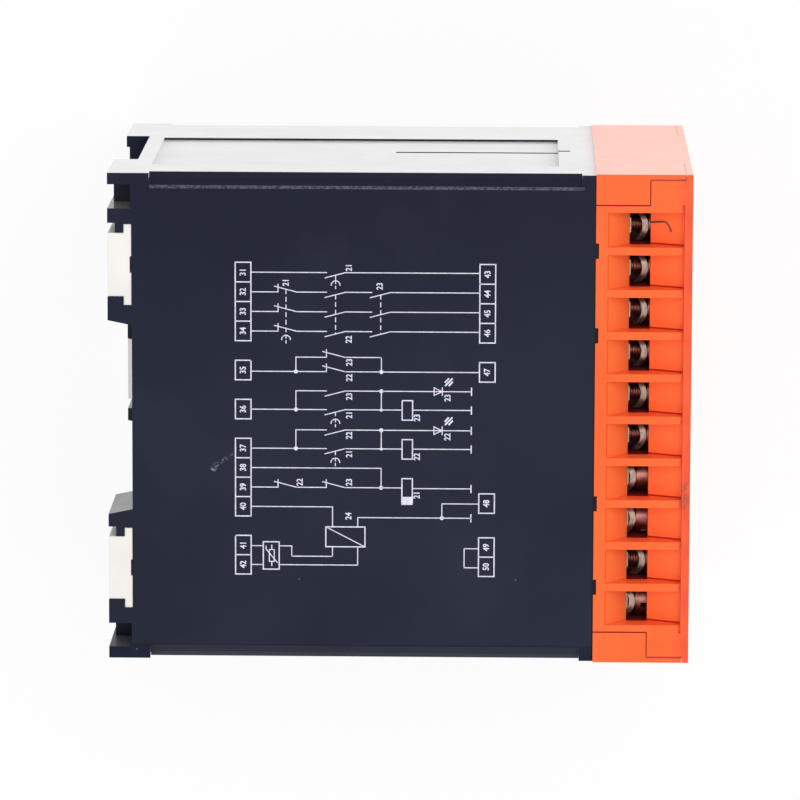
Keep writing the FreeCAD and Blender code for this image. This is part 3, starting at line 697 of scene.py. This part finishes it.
def break_contact(drawing, u, v):
    """Closed contact: the lever rests behind a short stroke; returns where the wire goes on."""
    hinge = u + HINGE_REACH
    drawing.line((u, v), (u, v + 1.4))
    drawing.line((u - 0.65, v + 1.05), (hinge, v))
    return hinge


def wire(drawing, v, start, end, contacts=()):
    """Straight wire with its contacts, each a symbol and the place of its stop."""
    for symbol, u in contacts:
        drawing.line((start, v), (u, v))
        start = symbol(drawing, u, v)
    drawing.line((start, v), (end, v))


def delay_mark(drawing, u, v):
    """Cap of a delayed contact: an arc open downwards on a short stem."""
    drawing.arc(u, v - 0.8, 0.8, 0, 180)
    drawing.line((u, v), (u, v - 0.5))
    drawing.line((u, v - 1.0), (u, v - 1.4))


def end_stop(drawing, v):
    drawing.line((WIRE_STOP, v - 0.65), (WIRE_STOP, v + 0.65), FRAME_WIDTH)


def light_symbol(drawing, v, number):
    """Diode with its bar and two rays."""
    tail, tip, half = LIGHT - 0.75, LIGHT + 0.7, 0.7
    drawing.path([(tail, v - half), (tip, v), (tail, v + half), (tail, v - half)])
    drawing.line((LIGHT + 0.75, v - 0.7), (LIGHT + 0.75, v + 0.7))
    for shift in (1.35, 2.0):
        drawing.line((LIGHT + shift, v + 1.15), (LIGHT + shift + 0.55, v + 1.75), 0.3)
        drawing.line((LIGHT + shift - 0.05, v + 1.75), (LIGHT + shift + 0.5, v + 2.35), 0.3)
    drawing.number(number, LIGHT + 1.75, v - 1.15)


def terminal_column(drawing, u, groups, first_number):
    """Numbered boxes; each group is the v of its middle and how many boxes it has."""
    number = first_number
    for middle, count in groups:
        for index in range(count):
            v = middle + ((count - 1) / 2 - index) * ROW_PITCH
            drawing.box(u, v, BOX_WIDE, ROW_PITCH)
            drawing.number(number, u, v)
            number += 1
    return number


def output_rows(drawing):
    """Four output paths through the contacts of three relays, with their dashed linkages."""
    wire(drawing, row(0), LEFT_END, RIGHT_END, [(make_contact, MIDDLE_COLUMN)])
    for index in (1, 2, 3):
        wire(drawing, row(index), LEFT_END, RIGHT_END,
             [(break_contact, FIRST_COLUMN), (make_contact, MIDDLE_COLUMN), (make_contact, THIRD_COLUMN)])
    middle = MIDDLE_COLUMN + LEVER_MIDDLE
    drawing.line((middle, row(0) - 0.5), (middle, row(0) - 1.5))
    delay_mark(drawing, middle, row(0) - 1.5)
    drawing.dashes(FIRST_COLUMN + 1.45, row(1) + 0.4, row(3) - 0.6)
    delay_mark(drawing, FIRST_COLUMN + 1.45, row(3) - 0.75)
    for column in (MIDDLE_COLUMN, THIRD_COLUMN):
        drawing.dashes(column + LEVER_MIDDLE, row(1) - 0.5, row(3) - 0.4)
    drawing.number(21, MIDDLE_COLUMN + 4.1, row(0) + 0.95)
    drawing.number(21, FIRST_COLUMN + 1.45, row(1) + 1.75)
    drawing.number(22, MIDDLE_COLUMN + 4.1, row(3) - 1.45)
    drawing.number(23, THIRD_COLUMN + 1.5, row(1) + 1.15)


def branch(drawing, v, above, contact, right_dot):
    """Second path over a wire, from the left node to the right one."""
    drawing.line((BRANCH_LEFT, v), (BRANCH_LEFT, above))
    wire(drawing, above, BRANCH_LEFT, BRANCH_RIGHT, [(contact, MIDDLE_COLUMN)])
    drawing.line((BRANCH_RIGHT, above), (BRANCH_RIGHT, v))
    drawing.dot(BRANCH_LEFT, v)
    drawing.dot(BRANCH_RIGHT, v, right_dot)


def feedback_row(drawing):
    """Feedback path through two closed contacts in parallel."""
    v = row(5) - 0.2
    wire(drawing, v, LEFT_END, RIGHT_END, [(break_contact, MIDDLE_COLUMN)])
    branch(drawing, v, v + 2.65, break_contact, DOT_RADIUS)
    drawing.number(23, MIDDLE_COLUMN + NUMBER_SHIFT, v + 1.75)
    drawing.number(22, MIDDLE_COLUMN + NUMBER_SHIFT, v - 1.1)


def signal_row(drawing, index, number):
    """Monitored input: two open contacts in parallel, a coil and a light."""
    v = row(index)
    above = v + 3.45
    wire(drawing, v, LEFT_END, COIL - COIL_HALF, [(make_contact, MIDDLE_COLUMN)])
    branch(drawing, v, above, make_contact, 0.3)
    delay_mark(drawing, MIDDLE_COLUMN + LEVER_MIDDLE, v - 1.75)
    drawing.line((MIDDLE_COLUMN + LEVER_MIDDLE, v - 0.65), (MIDDLE_COLUMN + LEVER_MIDDLE, v - 1.1))
    drawing.dot(BRANCH_RIGHT, above)
    drawing.line((BRANCH_RIGHT, above), (WIRE_STOP, above))
    drawing.box(COIL, v - 0.05, 2 * COIL_HALF, ROW_PITCH)
    drawing.line((COIL + COIL_HALF, v), (WIRE_STOP, v))
    light_symbol(drawing, above, number)
    end_stop(drawing, v)
    end_stop(drawing, above)
    drawing.number(number, MIDDLE_COLUMN + NUMBER_SHIFT, above - 1.0)
    drawing.number(21, MIDDLE_COLUMN + NUMBER_SHIFT, v - 0.95)
    drawing.number(number, COIL + 1.8, v - 1.4)


def start_rows(drawing):
    """Start input and reset input that meet at the delayed relay's coil."""
    upper, lower = row(10), row(11)
    drawing.path([(LEFT_END, upper), (BRANCH_RIGHT, upper), (BRANCH_RIGHT, lower)])
    wire(drawing, lower, LEFT_END, COIL - COIL_HALF,
         [(break_contact, FIRST_COLUMN), (break_contact, MIDDLE_COLUMN)])
    drawing.dot(BRANCH_RIGHT, lower)
    drawing.box(COIL, lower - 0.65, 2 * COIL_HALF, 4.75)
    filled = lower - 3.0
    left, right, full = COIL - COIL_HALF, COIL + COIL_HALF, filled + 1.35
    drawing.area([(left, filled), (right, filled), (right, full), (left, full)])
    drawing.line((COIL + COIL_HALF, lower - 0.1), (WIRE_STOP, lower - 0.1))
    end_stop(drawing, lower - 0.1)
    drawing.number(22, FIRST_COLUMN + 4.0, lower + 0.95)
    drawing.number(23, MIDDLE_COLUMN + NUMBER_SHIFT, lower + 1.0)
    drawing.number(21, COIL + 1.8, lower - 1.3)


def supply_part(drawing):
    """Supply block with its input resistor and the common line to the right column."""
    block, wide, tall = 43.3, 7.15, 3.7
    middle = row(13) - 1.95
    top, bottom = middle + tall / 2, middle - tall / 2
    left, right = block - 2.35, block + 2.25
    drawing.box(block, middle, wide, tall, WIRE_WIDTH * 1.2)
    drawing.line((block - wide / 2, top), (block + wide / 2, bottom))
    drawing.path([(LEFT_END, row(12)), (left, row(12)), (left, top)])
    common = row(12) - 1.95
    drawing.path([(right, top), (right, common), (WIRE_STOP, common)])
    end_stop(drawing, common)
    node = 60.9
    above = common + 2.65
    drawing.dot(node, common)
    drawing.path([(node, common), (node, above), (RIGHT_END, above)])
    drawing.number(24, block + 0.6, top + 2.0)
    resistor_part(drawing, left, right, bottom)


def resistor_part(drawing, left, right, bottom):
    """Surge resistor across the supply inputs."""
    upper, lower = row(14) - 0.1, row(15)
    u, wide, tall = 29.75, 2.9, 5.1
    middle = (upper + lower) / 2 - 0.05
    for v in (upper, lower):
        drawing.line((LEFT_END, v), (u - wide / 2, v))
    drawing.box(u, middle, wide, tall)
    bend, lowered = 33.5, upper - 1.9
    drawing.path([(u + wide / 2, upper), (bend, upper), (bend, lowered), (left, lowered), (left, bottom)])
    drawing.path([(u + wide / 2, lower), (right, lower), (right, bottom)])
    drawing.box(u + 0.1, middle, 0.9, 2.2, WIRE_WIDTH)
    drawing.line((u + 0.1, middle + 1.1), (u + 0.1, middle + 1.9))
    drawing.line((u + 0.1, middle - 1.1), (u + 0.1, middle - 1.9))
    drawing.path([(u - 0.95, middle + 1.7), (u - 0.95, middle + 1.2), (u + 1.1, middle - 1.3)])


def bridge_part(drawing):
    """Bridge between the last two boxes of the right column."""
    upper, lower = row(14) - 0.4, row(15) - 0.35
    drawing.path([(RIGHT_END, upper), (65.0, upper), (65.0, lower), (RIGHT_END, lower)])


def print_diagram():
    drawing = Print()
    left = [(row(1.5), 4), (row(5), 1), (row(7), 1), (row(10.5), 4), (row(14.5), 2)]
    right = [(row(1.5) - 0.15, 4), (row(5) - 0.15, 1), (row(12) + 0.8, 1), (row(14.5) - 0.15, 2)]
    number = terminal_column(drawing, LEFT_BOXES, left, FIRST_NUMBER)
    terminal_column(drawing, RIGHT_BOXES, right, number)
    output_rows(drawing)
    feedback_row(drawing)
    signal_row(drawing, 7, 23)
    signal_row(drawing, 9, 22)
    start_rows(drawing)
    supply_part(drawing)
    bridge_part(drawing)
    return drawing.close("printed_diagram")


print_diagram()


# ---------------------------------------------------------------- dirt
def height_over(node, x, y):
    """Height of a CAD node's upper surface at x, y."""
    tree = BVHTree.FromObject(node, bpy.context.evaluated_depsgraph_get())
    inside = node.matrix_world.inverted()
    start = inside @ Vector((x, y, FACE_Z + 10 * MM))
    hit = tree.ray_cast(start, inside.to_3x3() @ Vector((0, 0, -1)))[0]
    return (node.matrix_world @ hit).z


def fibre():
    """Dark fibre that lies in the first wire entry."""
    radius = 0.14 * MM
    strip = frame["nodes"]["terminal_strip_top"]
    # chosen: distance behind the front and place along the rail, in millimetres
    route = [(7.5, 35.75), (6.8, 35.85), (5.8, 35.95), (4.9, 35.95), (4.4, 35.5), (4.1, 34.9),
             (3.8, 34.25)]
    curve = bpy.data.curves.new("fibre", "CURVE")
    curve.dimensions = "3D"
    curve.bevel_depth = radius
    curve.bevel_resolution = 2
    curve.resolution_u = 6
    thread = curve.splines.new("BEZIER")
    thread.bezier_points.add(len(route) - 1)
    for knot, (behind_front, x) in zip(thread.bezier_points, route):
        y = FRONT_Y + behind_front * MM
        knot.co = (x * MM, y, height_over(strip, x * MM, y) + radius * 1.3)
        knot.handle_left_type = knot.handle_right_type = "AUTO"
        knot.radius = 1.0 if behind_front > 5 else 0.7
    holder = bpy.data.objects.new("fibre_curve", curve)
    bpy.context.scene.collection.objects.link(holder)
    shaped = holder.evaluated_get(bpy.context.evaluated_depsgraph_get())
    data = bpy.data.meshes.new_from_object(shaped)
    bpy.data.objects.remove(holder)
    data.materials.clear()
    data.materials.append(FIBRE)
    piece = bpy.data.objects.new("fibre", data)
    bpy.context.scene.collection.objects.link(piece)
    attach(piece, ROOT)


fibre()


# ---------------------------------------------------------------- floor, light and camera
FLOOR_SIZE = 6.0
FLOOR_GLOW = 0.92
WORLD_LIGHT = 0.62
AIM_HEIGHT = 0.04
SENSOR = 36.0
LENS = 265.5


def build_floor():
    """Pale floor; to the camera it is nearly white, and it keeps a soft shadow."""
    bpy.ops.mesh.primitive_plane_add(size=FLOOR_SIZE, location=(0, 0, CAD_BOX[0][2] - 0.05 * MM))
    floor = bpy.context.object
    floor.name = "floor"
    material, tree = new_material("floor_white")
    diffuse = add_node(tree, "BsdfDiffuse", {"Color": (0.9, 0.9, 0.9, 1.0)})
    glow = add_node(tree, "Emission", {"Color": WHITE, "Strength": 1.0})
    path = add_node(tree, "LightPath")
    soft = add_node(tree, "MixShader", {"Fac": FLOOR_GLOW, 1: diffuse.outputs[0], 2: glow.outputs[0]})
    shown = add_node(tree, "MixShader", {"Fac": path.outputs["Is Camera Ray"], 1: diffuse.outputs[0],
                                         2: soft.outputs[0]})
    mirrored = math_node(tree, "MAXIMUM", path.outputs["Is Glossy Ray"],
                         path.outputs["Is Transmission Ray"])
    seen = add_node(tree, "MixShader", {"Fac": mirrored, 1: shown.outputs[0], 2: glow.outputs[0]})
    add_node(tree, "OutputMaterial", {"Surface": seen.outputs[0]})
    floor.data.materials.append(material)


def build_world():
    world = bpy.data.worlds.new("studio")
    bpy.context.scene.world = world
    world.use_nodes = True
    tree = world.node_tree
    tree.nodes.clear()
    path = add_node(tree, "LightPath")
    shown = math_node(tree, "MAXIMUM", path.outputs["Is Camera Ray"], path.outputs["Is Glossy Ray"])
    shown = math_node(tree, "MAXIMUM", shown, path.outputs["Is Transmission Ray"])
    strength = remap(tree, shown, 0.0, 1.0, WORLD_LIGHT, 1.0)
    glow = add_node(tree, "Background", {"Color": WHITE, "Strength": strength})
    add_node(tree, "OutputWorld", {"Surface": glow.outputs[0]})


def add_lamp(name, place, size, power):
    """Soft square lamp aimed at the middle of the object."""
    lamp = bpy.data.lights.new(name, "AREA")
    lamp.size = size
    lamp.energy = power
    holder = bpy.data.objects.new(name, lamp)
    bpy.context.scene.collection.objects.link(holder)
    holder.location = place
    aim = Vector((0, 0, AIM_HEIGHT)) - holder.location
    holder.rotation_euler = aim.to_track_quat("-Z", "Y").to_euler()


def swing(first, second, angle):
    """Two square directions turned in their plane, the first towards the second."""
    cosine, sine = math.cos(angle), math.sin(angle)
    return first * cosine + second * sine, second * cosine - first * sine


def build_camera():
    """Camera above the printed face, rail side on the left and +X up, tilted to show the right end."""
    tilt, yaw, roll = (math.radians(angle) for angle in (9.52, 1.11, 0.37))
    distance = 1073.3 * MM
    aim = Vector((3.47 * MM, 0.10 * MM, CAD_BOX[1][2]))
    right, up, back = Vector((0, -1, 0)), Vector((1, 0, 0)), Vector((0, 0, 1))
    back, up = swing(back, up, tilt)
    back, right = swing(back, right, yaw)
    right, up = swing(right, up, roll)
    lens = bpy.data.cameras.new("camera")
    lens.sensor_width = SENSOR
    lens.lens = LENS
    lens.clip_start = 0.01
    camera = bpy.data.objects.new("camera", lens)
    bpy.context.scene.collection.objects.link(camera)
    turned = Matrix((right, up, back)).transposed().to_4x4()
    camera.matrix_world = Matrix.Translation(aim + back * distance) @ turned
    bpy.context.scene.camera = camera


build_floor()
build_world()
add_lamp("key", (0.25, -0.25, 0.9), 0.7, 4.0)
add_lamp("fill", (-0.5, 0.4, 0.6), 0.8, 1.6)
build_camera()
bpy.context.scene.view_settings.view_transform = "Standard"
